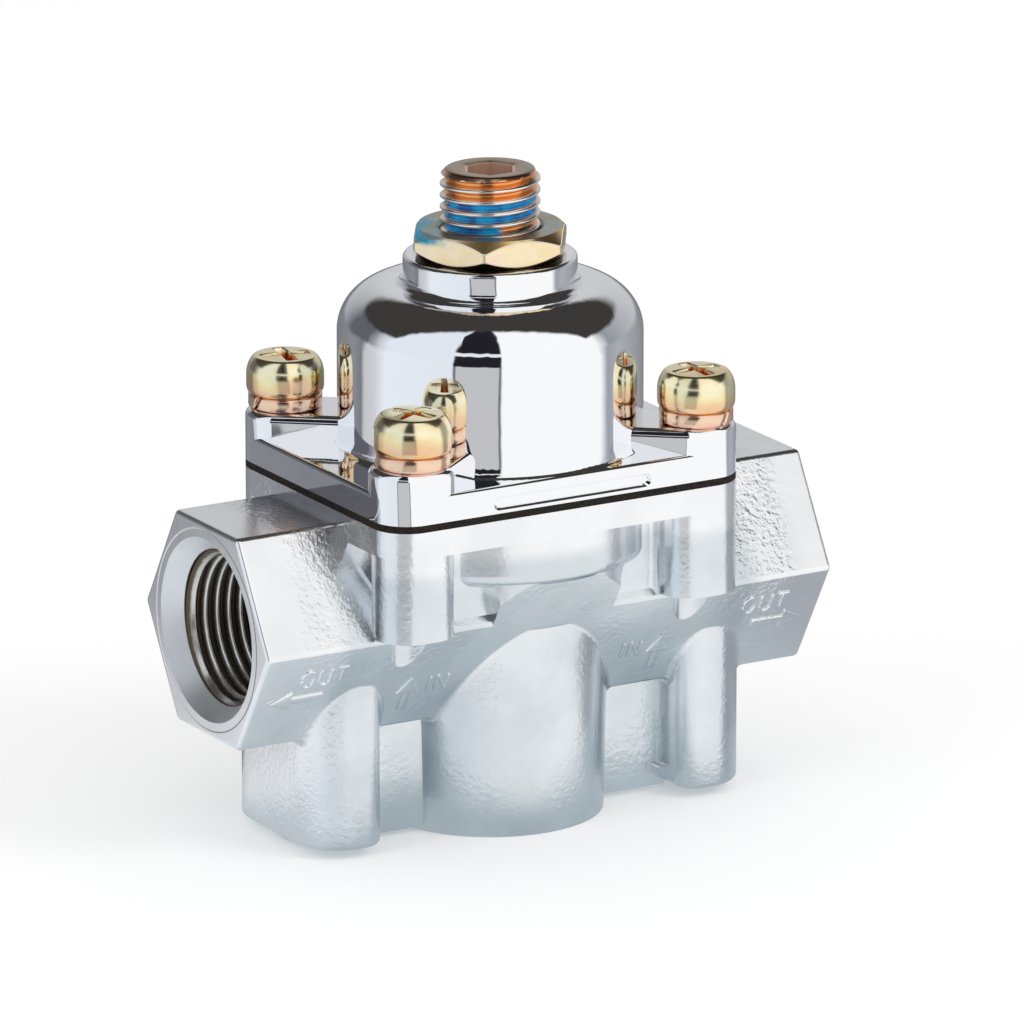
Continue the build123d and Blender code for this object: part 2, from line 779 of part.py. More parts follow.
# One file for each piece
export_step(body.part, "parts/body.step")
export_step(diaphragm.part, "parts/diaphragm.step")
export_step(cover.part, "parts/cover.step")
for number, cover_screw in enumerate(cover_screws, 1):
    export_step(cover_screw.part, f"parts/cover_screw_{number}.step")
for number, lock_washer in enumerate(lock_washers, 1):
    export_step(lock_washer.part, f"parts/lock_washer_{number}.step")
export_step(adjusting_screw.part, "parts/adjusting_screw.step")
export_step(jam_nut.part, "parts/jam_nut.step")
export_step(spring_seat.part, "parts/spring_seat.step")
export_step(upper_plate.part, "parts/upper_plate.step")
export_step(lower_plate.part, "parts/lower_plate.step")
export_step(diaphragm_rivet.part, "parts/diaphragm_rivet.step")
export_step(main_spring.part, "parts/main_spring.step")
export_step(valve_seat.part, "parts/valve_seat.step")
export_step(seat_ring.part, "parts/seat_ring.step")
export_step(valve_poppet.part, "parts/valve_poppet.step")
export_step(valve_retainer.part, "parts/valve_retainer.step")
export_step(valve_spring.part, "parts/valve_spring.step")
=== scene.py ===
import math

import bmesh
import bpy
import numpy as np
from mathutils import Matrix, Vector


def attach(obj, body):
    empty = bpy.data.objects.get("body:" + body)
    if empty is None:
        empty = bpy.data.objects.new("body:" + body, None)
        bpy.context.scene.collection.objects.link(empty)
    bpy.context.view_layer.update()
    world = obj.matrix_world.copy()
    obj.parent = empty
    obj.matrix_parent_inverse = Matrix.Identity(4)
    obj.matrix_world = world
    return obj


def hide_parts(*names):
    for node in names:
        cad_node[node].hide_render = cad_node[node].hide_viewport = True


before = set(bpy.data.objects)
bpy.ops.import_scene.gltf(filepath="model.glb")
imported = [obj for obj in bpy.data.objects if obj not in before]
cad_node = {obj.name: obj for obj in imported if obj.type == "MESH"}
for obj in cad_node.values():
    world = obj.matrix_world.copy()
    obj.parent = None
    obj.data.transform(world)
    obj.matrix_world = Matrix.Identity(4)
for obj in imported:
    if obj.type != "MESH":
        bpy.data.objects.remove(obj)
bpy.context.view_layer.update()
mm = 0.001

# The regulator is looked at from its front left corner, a little from above, through a long
# lens, so the barrel's two ends hardly converge.

view_turn = math.radians(-30.336)
view_rise = math.radians(16.06)
camera_back = Vector(
    (
        math.sin(view_turn) * math.cos(view_rise),
        -math.cos(view_turn) * math.cos(view_rise),
        math.sin(view_rise),
    )
)
camera_aim = Vector((2.027, -1.186, 32.923)) * mm
camera_distance = 1.2015
camera_data = bpy.data.cameras.new("camera")
camera_data.lens = 391.33
camera_data.sensor_width = 36.0
camera_data.clip_start = 0.01
camera_data.clip_end = 20.0
camera = bpy.data.objects.new("camera", camera_data)
camera.location = camera_aim + camera_back * camera_distance
camera.rotation_mode = "QUATERNION"
camera.rotation_quaternion = (-camera_back).to_track_quat("-Z", "Y")
bpy.context.scene.collection.objects.link(camera)
bpy.context.scene.camera = camera
bpy.context.scene.view_settings.view_transform = "Standard"

# The studio: a white table under a bright sky of soft boxes. Polished metal mirrors a white
# box on either side, the narrow dark gap between them, and the dimmer room behind the part.


class Socket:
    """One output of a node. Sums on it add Math nodes to the same tree, and its methods add
    the nodes that they name."""

    def __init__(self, tree, output=None):
        self.tree = tree
        self.output = output

    def node(self, kind, settings=None, sockets=None, output=0):
        """Adds any node, with its settings first and then the values or links of its sockets."""
        made = self.tree.nodes.new(kind)
        for name, value in (settings or {}).items():
            if name == "stops":
                ramp = made.color_ramp
                while len(ramp.elements) < len(value):
                    ramp.elements.new(1.0)
                for element, (position, colour) in zip(ramp.elements, value):
                    element.position = position
                    element.color = (*colour, 1.0)
            else:
                setattr(made, name, value)
        for name, value in (sockets or {}).items():
            self.plug(made.inputs[name], value)
        return Socket(self.tree, made.outputs[output])

    def plug(self, target, value):
        """Links a Socket to an input, or sets the input to a plain value."""
        if isinstance(value, Socket):
            self.tree.links.new(value.output, target)
        else:
            target.default_value = value

    def maths(self, operation, first, second=0.0):
        """One Math node on one or two numbers."""
        return self.node("ShaderNodeMath", {"operation": operation}, {0: first, 1: second})

    def __add__(self, other):
        return self.maths("ADD", self, other)

    def __radd__(self, other):
        return self.maths("ADD", other, self)

    def __sub__(self, other):
        return self.maths("SUBTRACT", self, other)

    def __rsub__(self, other):
        return self.maths("SUBTRACT", other, self)

    def __mul__(self, other):
        return self.maths("MULTIPLY", self, other)

    def __rmul__(self, other):
        return self.maths("MULTIPLY", other, self)

    def between(self, low, high):
        """0 below low, 1 above high, and a smooth rise from one to the other."""
        return self.node(
            "ShaderNodeMapRange",
            {"interpolation_type": "SMOOTHSTEP"},
            {"Value": self, "From Min": low, "From Max": high},
        )

    def mixed(self, low_colour, high_colour):
        """low_colour where this is 0 and high_colour where it is 1."""
        return self.node(
            "ShaderNodeMix", {"data_type": "RGBA"}, {0: self, 6: low_colour, 7: high_colour}, 2
        )

    def part(self, axis):
        """The x, y or z of a vector, for axis 0, 1 or 2."""
        return self.node("ShaderNodeSeparateXYZ", None, {0: self}, axis)

    def times(self, factors):
        """A vector whose parts are each multiplied by a factor of its own."""
        return self.node("ShaderNodeVectorMath", {"operation": "MULTIPLY"}, {0: self, 1: factors})

    def dot(self, direction):
        """How far a vector reaches along a direction."""
        return self.node(
            "ShaderNodeVectorMath", {"operation": "DOT_PRODUCT"}, {0: self, 1: direction}, 1
        )

    def length(self):
        """The length of a vector."""
        return self.node("ShaderNodeVectorMath", {"operation": "LENGTH"}, {0: self}, 1)


def studio_colours(direction):
    """What a mirror sees in a direction. The angle round the part, counted from the camera's
    side, runs along two ramps: the boxes' colours seen low over the table, and the same room
    seen above it. The height mixes the two and fades the dark gap out, but for a bright slit
    across it. The arc from the camera's side up over the part has a dim ceiling."""
    flat_back = Vector((camera_back.x, camera_back.y, 0.0)).normalized()
    to_right = Vector((-flat_back.y, flat_back.x, 0.0))
    towards = direction.dot(flat_back)
    rightwards = direction.dot(to_right)
    height = direction.part(2)
    angle = direction.maths("ARCTAN2", rightwards, towards)
    turn = angle * (0.5 / math.pi) + 0.5
    low_room = turn.node(
        "ShaderNodeValToRGB",
        {
            "stops": [
                (0.00, (0.17, 0.17, 0.18)),
                (0.10, (0.22, 0.23, 0.25)),
                (0.165, (0.26, 0.27, 0.29)),
                (0.196, (0.20, 0.21, 0.23)),
                (0.206, (0.57, 0.575, 0.59)),
                (0.24, (0.64, 0.65, 0.67)),
                (0.27, (0.84, 0.88, 0.92)),
                (0.42, (0.80, 0.84, 0.89)),
                (0.53, (1.00, 1.00, 1.00)),
                (0.745, (1.00, 1.00, 1.00)),
                (0.765, (0.34, 0.36, 0.40)),
                (0.80, (0.42, 0.44, 0.48)),
                (0.90, (0.30, 0.31, 0.33)),
                (1.00, (0.17, 0.17, 0.18)),
            ]
        },
        {0: turn},
    )
    high_room = turn.node(
        "ShaderNodeValToRGB",
        {
            "stops": [
                (0.00, (0.62, 0.62, 0.63)),
                (0.08, (0.40, 0.41, 0.43)),
                (0.14, (0.12, 0.12, 0.14)),
                (0.21, (0.12, 0.12, 0.14)),
                (0.27, (0.80, 0.84, 0.90)),
                (0.42, (0.80, 0.84, 0.90)),
                (0.53, (1.00, 1.00, 1.00)),
                (0.745, (1.00, 1.00, 1.00)),
                (0.775, (0.30, 0.32, 0.35)),
                (0.92, (0.55, 0.55, 0.57)),
                (1.00, (0.62, 0.62, 0.63)),
            ]
        },
        {0: turn},
    )
    room = height.between(-0.06, 0.06).mixed(low_room, high_room)

    # the gap between the boxes is grey low down, black above, and crossed by the bright slit
    in_gap = turn.between(0.424, 0.430) * (1.0 - turn.between(0.519, 0.525))
    in_gap = in_gap * height.between(-0.44, -0.39)
    within = turn.between(0.430, 0.433) * (1.0 - turn.between(0.516, 0.519))
    gap = within.mixed((0.10, 0.10, 0.11, 1.0), (0.56, 0.56, 0.57, 1.0))
    gap = height.between(-0.17, -0.13).mixed(gap, (0.015, 0.015, 0.02, 1.0))
    slit = height.between(0.20, 0.24) * (1.0 - height.between(0.32, 0.36))
    gap = slit.mixed(gap, (0.84, 0.86, 0.88, 1.0))
    around = in_gap.mixed(room, gap)

    # overhead runs from 0 at the camera's side, up over the part, to 1 behind it
    overhead = direction.maths("ARCTAN2", height, towards) * (1.0 / math.pi)
    ceiling = overhead.between(0.385, 0.43) * (1.0 - overhead.between(0.80, 0.87))
    ceiling = ceiling * height.between(0.36, 0.46)
    return ceiling.mixed(around, (0.045, 0.042, 0.038, 1.0))


world = bpy.data.worlds.new("studio")
bpy.context.scene.world = world
world.use_nodes = True
sky = Socket(world.node_tree)
sky_direction = sky.node("ShaderNodeTexCoord", output="Generated")
by_mirror = sky.node("ShaderNodeLightPath", output="Is Glossy Ray")
sky_colour = by_mirror.mixed((0.70, 0.70, 0.70, 1.0), studio_colours(sky_direction))
by_camera = sky.node("ShaderNodeLightPath", output="Is Camera Ray")
background = world.node_tree.nodes["Background"]
sky.plug(background.inputs["Color"], by_camera.mixed(sky_colour, (1.0, 1.0, 1.0, 1.0)))
background.inputs["Strength"].default_value = 1.0

table_mesh = bpy.data.meshes.new("table")
table_mesh.from_pydata([(-3, -3, 0), (3, -3, 0), (3, 3, 0), (-3, 3, 0)], [], [(0, 1, 2, 3)])
table = bpy.data.objects.new("table", table_mesh)
bpy.context.scene.collection.objects.link(table)
table_finish = bpy.data.materials.new("table_white")
table_finish.use_nodes = True
table_shader = table_finish.node_tree.nodes["Principled BSDF"]
table_start = Socket(table_finish.node_tree)
table_place = table_start.node("ShaderNodeTexCoord", output="Object")
mid_part = (0.0, 0.0, 0.045)
table_direction = table_start.node(
    "ShaderNodeVectorMath", {"operation": "SUBTRACT"}, {0: table_place, 1: mid_part}
)
table_direction = table_start.node(
    "ShaderNodeVectorMath", {"operation": "NORMALIZE"}, {0: table_direction}
)
by_mirror = table_start.node("ShaderNodeLightPath", output="Is Glossy Ray")
by_camera = table_start.node("ShaderNodeLightPath", output="Is Camera Ray")
table_colour = by_mirror.mixed((0.97, 0.97, 0.97, 1.0), (0.0, 0.0, 0.0, 1.0))
# For mirrors the table glows with the studio's colours. Within an ellipse round the part it glows
# with a painted shade instead, in place of the part's shadow on the table.
from_part = table_place.times((22.0, 45.0, 0.0)).length()
shade_by_part = (0.49, 0.55, 0.59, 1.0)
mirrored = from_part.between(0.70, 1.30).mixed(shade_by_part, studio_colours(table_direction))
table_glow = by_camera.mixed((0.0, 0.0, 0.0, 1.0), (0.24, 0.24, 0.24, 1.0))
table_glow = by_mirror.mixed(table_glow, mirrored)
table_start.plug(table_shader.inputs["Base Color"], table_colour)
table_start.plug(table_shader.inputs["Emission Color"], table_glow)
table_shader.inputs["Emission Strength"].default_value = 1.0
table_shader.inputs["Roughness"].default_value = 0.9
table_shader.inputs["Specular IOR Level"].default_value = 0.0
table_mesh.materials.append(table_finish)

for lamp_name, lamp_place, lamp_size, lamp_power in (
    ("soft_box_right", (0.55, -0.75, 0.75), 0.5, 2.0),
    ("soft_box_left", (-1.05, -0.25, 0.70), 0.5, 1.4),
):
    lamp_data = bpy.data.lights.new(lamp_name, "AREA")
    lamp_data.shape = "SQUARE"
    lamp_data.size = lamp_size
    lamp_data.energy = lamp_power
    lamp = bpy.data.objects.new(lamp_name, lamp_data)
    lamp.visible_glossy = False
    lamp.location = lamp_place
    lamp.rotation_mode = "QUATERNION"
    lamp.rotation_quaternion = (-Vector(lamp_place)).to_track_quat("-Z", "Y")
    bpy.context.scene.collection.objects.link(lamp)

# The body is one zinc die casting: a hexagonal barrel, the diaphragm bowl over it, the inlet
# boss, two feet and their webs. It is plated bright zinc, so it shines bluish white over the
# skin that the die gave it.

barrel_z = 24.9
port_face_x = 35.05
drawn_lead_in_r = 9.7
drawn_lead_in_depth = 1.3
lead_in_r = 10.05
lead_in_depth = 2.0
bore_r = 8.55


def new_finish(name, metallic=1.0, roughness=0.3):
    """A material with a Principled shader: the material, a Socket to build on, and its inputs."""
    material = bpy.data.materials.new(name)
    material.use_nodes = True
    inputs = material.node_tree.nodes["Principled BSDF"].inputs
    inputs["Metallic"].default_value = metallic
    inputs["Roughness"].default_value = roughness
    return material, Socket(material.node_tree), inputs


def grain(start, place, scale, detail=3.0, roughness=0.55):
    """Soft noise from 0 to 1 over a place in metres, with scale grains to the metre."""
    return start.node(
        "ShaderNodeTexNoise",
        None,
        {"Vector": place, "Scale": scale, "Detail": detail, "Roughness": roughness},
    )


def raised(start, height, depth):
    """A Bump node's normal for a height from 0 to 1 that stands depth metres high."""
    bump = {"Strength": 1.0, "Distance": depth, "Height": height}
    return start.node("ShaderNodeBump", None, bump)


def casting_finish(name, pale, dull, skin_depth):
    """Plated casting: colour clouds, and a die skin that is smooth in places and pebbled in
    others, where the metal froze unevenly. The barrel's sides and its turned port mouths are
    smooth: out along the barrel the skin fades. Its end faces are turned down a little inside
    a ring round the port. Low on the casting, away from the ports and below the top rim, the
    colour is a darker bluish grey: a painted shade."""
    material, start, inputs = new_finish(name, roughness=0.24)
    place = start.node("ShaderNodeTexCoord", output="Object")
    clouds = grain(start, place, 90.0, 4.0)
    pebbles = grain(start, place, 1700.0, 2.0)
    patches = grain(start, place, 110.0, 2.0).between(0.44, 0.62)
    fine = grain(start, place, 5200.0, 2.0)
    outwards = start.maths("ABSOLUTE", place.part(0))
    rough_part = 1.0 - outwards.between(28.5 * mm, 32.0 * mm) * 0.92
    clouded = clouds.between(0.35, 0.68)
    smooth = clouded.mixed(dull, pale)
    # painted shade: low on the casting the colour is a darker bluish grey, standing for the
    # shaded table those faces mirror
    painted_shade_grey = clouded.mixed((0.68, 0.73, 0.76, 1.0), (0.80, 0.84, 0.865, 1.0))
    below_rim = 1.0 - place.part(2).between(31.5 * mm, 33.5 * mm)
    lower = (1.0 - outwards.between(24.0 * mm, 27.0 * mm)) * below_rim
    start.plug(inputs["Base Color"], lower.mixed(smooth, painted_shade_grey))
    barrel_place = start.node(
        "ShaderNodeVectorMath",
        {"operation": "MULTIPLY_ADD"},
        {0: place, 1: (0.0, 1.0, 1.0), 2: (0.0, 0.0, -barrel_z * mm)},
    )
    from_port = barrel_place.length()
    turned = from_port.between(10.9 * mm, 11.15 * mm) * outwards.between(34.6 * mm, 34.9 * mm)
    mouth = 1.0 - from_port.between(10.0 * mm, 10.15 * mm)
    mouth = mouth * outwards.between(32.9 * mm, 33.1 * mm)
    start.plug(inputs["Roughness"], 0.15 + clouds * 0.10 + fine * 0.05 + mouth * 0.30)
    by_block = outwards.between(20.0 * mm, 25.0 * mm)
    skin = pebbles * (0.30 + 0.70 * patches + by_block * 0.8) * rough_part
    skin = skin + fine * 0.10 + turned * 0.8
    start.plug(inputs["Normal"], raised(start, skin, skin_depth))
    return material


def even_normals(mesh, sharp_degrees):
    """Corner normals that keep flat faces flat and run smoothly over rounded ones. A corner's
    is the mean over its vertex's faces that lean less than sharp_degrees from its own face,
    each counted by the area of everything that lies in its plane."""
    faces = len(mesh.polygons)
    normal, centre, area = np.empty(faces * 3), np.empty(faces * 3), np.empty(faces)
    sides, vertex = np.empty(faces, np.int32), np.empty(len(mesh.loops), np.int32)
    mesh.polygons.foreach_get("normal", normal)
    mesh.polygons.foreach_get("center", centre)
    mesh.polygons.foreach_get("area", area)
    mesh.polygons.foreach_get("loop_total", sides)
    mesh.loops.foreach_get("vertex_index", vertex)
    normal, centre = normal.reshape(-1, 3), centre.reshape(-1, 3)
    plane_gap, lean_steps = 0.01 * mm, 400.0
    offset = (normal * centre).sum(axis=1) / plane_gap
    place = np.round(np.column_stack([normal * lean_steps, offset]))
    plane = np.unique(place, axis=0, return_inverse=True)[1].reshape(-1)
    weight = np.bincount(plane, weights=area)[plane]
    face = np.repeat(np.arange(faces), sides)
    order = np.argsort(vertex, kind="stable")
    shared = np.bincount(vertex)
    first = (np.cumsum(shared) - shared)[vertex]
    shared = shared[vertex]
    corner = np.repeat(np.arange(len(vertex)), shared)
    step = np.arange(len(corner)) - np.repeat(np.cumsum(shared) - shared, shared)
    other = order[np.repeat(first, shared) + step]
    alike = (normal[face[corner]] * normal[face[other]]).sum(axis=1)
    near = alike > math.cos(math.radians(sharp_degrees))
    corner, other = corner[near], face[other[near]]
    counted = normal[other] * weight[other, None]
    mean = np.stack([np.bincount(corner, weights=counted[:, axis]) for axis in range(3)], axis=-1)
    mesh.normals_split_custom_set(mean / np.linalg.norm(mean, axis=1)[:, None])


def mesh_points(mesh):
    """The places of a mesh's vertices, one row each."""
    places = np.empty(len(mesh.vertices) * 3)
    mesh.vertices.foreach_get("co", places)
    return places.reshape(-1, 3)


def move_points(mesh, places):
    """Puts a mesh's vertices at new places."""
    mesh.vertices.foreach_set("co", places.reshape(-1))
    mesh.update()


def dress(piece, finish):
    """Gives a piece one finish in place of what its mesh had."""
    piece.data.materials.clear()
    piece.data.materials.append(finish)


def merged_copy(node, name):
    """The CAD node's own surface as a new piece, with its loose triangles joined."""
    mesh = cad_node[node].data.copy()
    mesh.name = name
    shape = bmesh.new()
    shape.from_mesh(mesh)
    bmesh.ops.remove_doubles(shape, verts=shape.verts, dist=0.002 * mm)
    shape.to_mesh(mesh)
    shape.free()
    mesh.polygons.foreach_set("use_smooth", np.ones(len(mesh.polygons), bool))
    piece = bpy.data.objects.new(name, mesh)
    bpy.context.scene.collection.objects.link(piece)
    return piece


zinc = casting_finish(
    "bright_zinc_casting", (0.985, 0.988, 0.99, 1.0), (0.88, 0.90, 0.92, 1.0), 0.056 * mm
)
casting = merged_copy("body", "casting")

# each port's lead-in becomes one cone, from the rim of its mouth down to the first thread
corners = mesh_points(casting.data)
from_barrel = np.hypot(corners[:, 1], corners[:, 2] - barrel_z * mm)
from_bell = np.hypot(corners[:, 0], corners[:, 1])
for old_depth, new_depth, new_r in (
    (0.0, 0.0, lead_in_r),
    (drawn_lead_in_depth, lead_in_depth, bore_r),
):
    at_outlet = np.abs(np.abs(corners[:, 0]) - (port_face_x - old_depth) * mm) < 0.02 * mm
    at_outlet &= np.abs(from_barrel - drawn_lead_in_r * mm) < 0.05 * mm
    at_inlet = np.abs(corners[:, 2] - old_depth * mm) < 0.02 * mm
    at_inlet &= np.abs(from_bell - drawn_lead_in_r * mm) < 0.05 * mm
    wider = new_r / drawn_lead_in_r
    corners[at_outlet, 0] = np.sign(corners[at_outlet, 0]) * (port_face_x - new_depth) * mm
    corners[at_outlet, 1] *= wider
    corners[at_outlet, 2] = barrel_z * mm + (corners[at_outlet, 2] - barrel_z * mm) * wider
    corners[at_inlet, 2] = new_depth * mm
    corners[at_inlet, :2] *= wider
move_points(casting.data, corners)
even_normals(casting.data, 24.0)
dress(casting, zinc)
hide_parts("body")
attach(casting, "housing")

# The three ports are cut with pipe threads. Each thread is a ring of metal teeth that the tap
# left in the bore, and its first turn is cut away by the lead-in cone.

pipe_pitch = 1.411
pipe_taper = 1.0 / 32.0
full_thread_depth = 2.6


def grid_mesh(name, points, around=False, along=False, crest=None):
    """A mesh of quads over a grid of points, rows by columns: each quad joins a point to the
    next in its row and in its column. around joins the last column to the first, and along
    the last row to the first. Rows that shrink to one point are merged to close the pole.
    crest is a number for each point, kept with the mesh, that a finish may read."""
    rows, columns = points.shape[:2]
    index = np.arange(rows * columns).reshape(rows, columns)
    if around:
        index = np.hstack([index, index[:, :1]])
    if along:
        index = np.vstack([index, index[:1]])
    quads = np.stack([index[:-1, :-1], index[:-1, 1:], index[1:, 1:], index[1:, :-1]], axis=-1)
    mesh = bpy.data.meshes.new(name)
    mesh.from_pydata(points.reshape(-1, 3) * mm, [], quads.reshape(-1, 4))
    if crest is not None:
        kept = mesh.attributes.new("crest", "FLOAT", "POINT")
        kept.data.foreach_set("value", crest.reshape(-1))
    shape = bmesh.new()
    shape.from_mesh(mesh)
    bmesh.ops.remove_doubles(shape, verts=shape.verts, dist=0.0005 * mm)
    bmesh.ops.recalc_face_normals(shape, faces=shape.faces)
    shape.to_mesh(mesh)
    shape.free()
    mesh.polygons.foreach_set("use_smooth", np.ones(len(mesh.polygons), bool))
    return mesh


def new_piece(name, mesh, finish, body):
    """Puts a mesh into the scene with its finish, riding on a body."""
    piece = bpy.data.objects.new(name, mesh)
    bpy.context.scene.collection.objects.link(piece)
    mesh.materials.clear()
    mesh.materials.append(finish)
    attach(piece, body)
    return piece


def thread_height(phase):
    """Height of a V thread from 0 in the groove to 1 on the crest: a triangle wave of the
    phase in turns, with both ends flattened and rounded."""
    wave = np.abs(2.0 * (phase - np.floor(phase)) - 1.0)
    ramp = np.clip((wave - 0.13) / 0.80, 0.0, 1.0)
    return ramp * ramp * (3.0 - 2.0 * ramp)


cut_zinc, start, inputs = new_finish("cut_thread_zinc", roughness=0.26)
place = start.node("ShaderNodeTexCoord", output="Object")
crest = start.node("ShaderNodeAttribute", {"attribute_name": "crest"}, None, 2)
stain = grain(start, place, 1300.0, 4.0, 0.65)
# painted shade: by the thread's height the grooves are coloured brownish black and the crests
# pale grey, with random stains mixed in
lit_crest_and_stain = (crest + stain * 0.5 - 0.25).between(0.30, 0.92)
start.plug(inputs["Base Color"], lit_crest_and_stain.mixed((0.150, 0.115, 0.082, 1.0), (0.74, 0.72, 0.68, 1.0)))
start.plug(inputs["Roughness"], 0.5 - lit_crest_and_stain * 0.24)
start.plug(inputs["Normal"], raised(start, stain, 0.02 * mm))


def port_thread(length, hand):
    """Depth from the mouth and radius over a grid: rows run down the bore and back up inside
    the metal, columns run round it. The radius is the larger of the V thread's and the
    lead-in cone's, so the cone cuts the first turn away. The last grid is the thread's own
    height, from 0 in its groove to 1 on its crest."""
    end_depth = full_thread_depth + length
    depth = np.linspace(lead_in_depth, end_depth, int(length / 0.08))[:, None]
    turn = np.linspace(0.0, 2.0 * np.pi, 160, endpoint=False)[None, :]
    major_r = bore_r - 0.03 - (depth - full_thread_depth) * pipe_taper
    fade = np.clip((end_depth - depth) / 1.8, 0.0, 1.0)
    height = thread_height(hand * depth / pipe_pitch - turn / (2.0 * np.pi))
    cone_r = bore_r - (depth - lead_in_depth) * 0.75
    radius = np.maximum(major_r - 0.86 * height * fade, cone_r)
    wall = np.full_like(radius[:1], bore_r + 0.11)
    depth = np.broadcast_to(depth, radius.shape)
    radius = np.vstack([wall, radius, wall])
    depth = np.vstack([depth[:1], depth, depth[-1:]])
    height = np.vstack([height[:1], height, height[-1:]])
    return depth, radius, np.broadcast_to(turn, radius.shape), height


for side_name, side in (("left", -1.0), ("right", 1.0)):
    depth, radius, turn, height = port_thread(12.6, -side)
    x = side * (port_face_x - depth)
    points = np.stack([x, radius * np.cos(turn), barrel_z + radius * np.sin(turn)], axis=-1)
    mesh = grid_mesh(f"outlet_thread_{side_name}", points, around=True, along=True, crest=height)
    new_piece(f"outlet_thread_{side_name}", mesh, cut_zinc, "housing")
depth, radius, turn, height = port_thread(8.6, 1.0)
points = np.stack([radius * np.cos(turn), radius * np.sin(turn), depth], axis=-1)
mesh = grid_mesh("inlet_thread", points, around=True, along=True, crest=height)
new_piece("inlet_thread", mesh, cut_zinc, "housing")

# Flow marks are cast proud of the barrel's lower front face: IN and OUT with an arrow each.
# The die cut them as shallow grooves, so their strokes are low and round on top.


def on_lower_face(x, drop, height):
    """A place on the slanted face: x along the barrel, drop down the slope from the barrel's
    front edge, and height above the face. The slope falls at 60 degrees."""
    front_edge_y = -13.568
    y = front_edge_y + 0.5 * drop - 0.866 * height
    z = barrel_z - 0.866 * drop - 0.5 * height
    return np.stack([x, y, z], axis=-1)


def stroke(path, width=0.42, height=0.2):
    """A ridge along a path on the face: across the path it is half an ellipse, width wide and
    height high, and its two ends taper to nothing in half a circle."""
    path = np.asarray(path, float)
    steps = np.hypot(*np.diff(path, axis=0).T)
    reach = np.concatenate([[0.0], np.cumsum(steps)])
    at = np.linspace(0.0, reach[-1], max(14, int(reach[-1] / 0.09)))
    x = np.interp(at, reach, path[:, 0])
    drop = np.interp(at, reach, path[:, 1])
    along = np.stack([np.gradient(x), np.gradient(drop)], axis=-1)
    along /= np.hypot(along[:, 0], along[:, 1])[:, None]
    from_end = np.minimum(at, reach[-1] - at) / (width / 2)
    swell = np.sqrt(np.clip(1.0 - (1.0 - np.clip(from_end, 0.0, 1.0)) ** 2, 0.0, 1.0))[:, None]
    lean = np.linspace(-0.12 * np.pi, 1.12 * np.pi, 11)[None, :]
    aside = 0.5 * width * np.cos(lean) * swell
    return on_lower_face(
        x[:, None] - along[:, 1:] * aside,
        drop[:, None] + along[:, :1] * aside,
        height * np.sin(lean) * swell,
    )


def arrow(tip, barb_back, barb_half, shaft_half, tail):
    """A flat-topped arrow. Its outline is carried up the edge in steps: out at the face, in
    by the draft at the top, then in to the arrow's own middle line."""
    tip, tail = np.asarray(tip, float), np.asarray(tail, float)
    ahead = (tip - tail) / np.hypot(*(tip - tail))
    across = np.array([-ahead[1], ahead[0]])
    neck = tip - ahead * barb_back
    rim = np.array(
        [
            tip,
            neck + across * barb_half,
            neck + across * shaft_half,
            tail + across * shaft_half,
            tail - across * shaft_half,
            neck - across * shaft_half,
            neck - across * barb_half,
            tip,
        ]
    )
    steps = np.concatenate([[0.0], np.cumsum(np.hypot(*np.diff(rim, axis=0).T))])
    at = np.linspace(0.0, steps[-1], 160)
    rim = np.stack([np.interp(at, steps, rim[:, 0]), np.interp(at, steps, rim[:, 1])], axis=-1)
    ahead_of_tail = np.clip((rim - tail) @ ahead, 0.15, (tip - tail) @ ahead - 0.35)
    middle = tail + ahead_of_tail[:, None] * ahead
    rows = []
    for inward, height in ((-0.05, -0.08), (0.0, 0.05), (0.12, 0.15), (0.3, 0.18), (1.0, 0.19)):
        inner = rim + (middle - rim) * inward
        rows.append(on_lower_face(inner[:, 0], inner[:, 1], np.full(len(inner), height)))
    return np.stack(rows)


def letter_o(x, top, bottom, width):
    """The path of an O: an ellipse from its left side round."""
    lap = np.linspace(0.0, 2.0 * np.pi, 40)
    return np.stack(
        [
            x + 0.5 * width * (1 - np.cos(lap)),
            0.5 * (top + bottom) + 0.5 * (bottom - top) * np.sin(lap),
        ],
        axis=-1,
    )


def letter_u(x, top, bottom, width):
    """The path of a U: straight down, half a circle along the bottom, and straight up."""
    lap = np.linspace(np.pi, 0.0, 16)
    bowl = np.stack(
        [x + 0.5 * width * (1 + np.cos(lap)), bottom - 0.5 * width * (1 - np.sin(lap))], axis=-1
    )
    return np.vstack([[(x, top)], bowl, [(x + width, top)]])


def word_out(x):
    """The strokes of OUT from x on: an ellipse, a U and the two straight lines of a T."""
    return [
        stroke(letter_o(x + 0.1, 2.7, 5.0, 1.5)),
        stroke(letter_u(x + 2.25, 2.65, 5.0, 1.35)),
        stroke([(x + 4.2, 2.75), (x + 5.75, 2.75)]),
        stroke([(x + 4.95, 2.75), (x + 4.95, 5.0)]),
    ]


def word_in(x):
    """The strokes of IN from x on, all straight."""
    return [
        stroke([(x, 6.55), (x, 8.85)]),
        stroke([(x + 0.85, 8.85), (x + 0.85, 6.55), (x + 2.15, 8.85), (x + 2.15, 6.55)]),
    ]


marks = word_out(-30.0) + word_out(24.85) + word_in(-13.25) + word_in(10.85)
marks += [
    arrow((-33.35, 6.8), 2.75, 1.35, 0.5, (-26.7, 6.7)),
    arrow((33.4, 6.85), 2.75, 1.4, 0.5, (26.75, 6.75)),
    arrow((-15.75, 6.15), 2.35, 1.5, 0.48, (-15.9, 11.0)),
    arrow((15.3, 6.2), 2.35, 1.4, 0.48, (15.25, 11.0)),
]
for number, points in enumerate(marks, 1):
    mesh = grid_mesh(f"flow_mark_{number}", points)
    new_piece(f"flow_mark_{number}", mesh, zinc, "housing")

# The inner pieces keep their CAD shapes: steel plates and spring seat, a brass valve, coiled
# springs and a fibre ring. They show only through the ports.


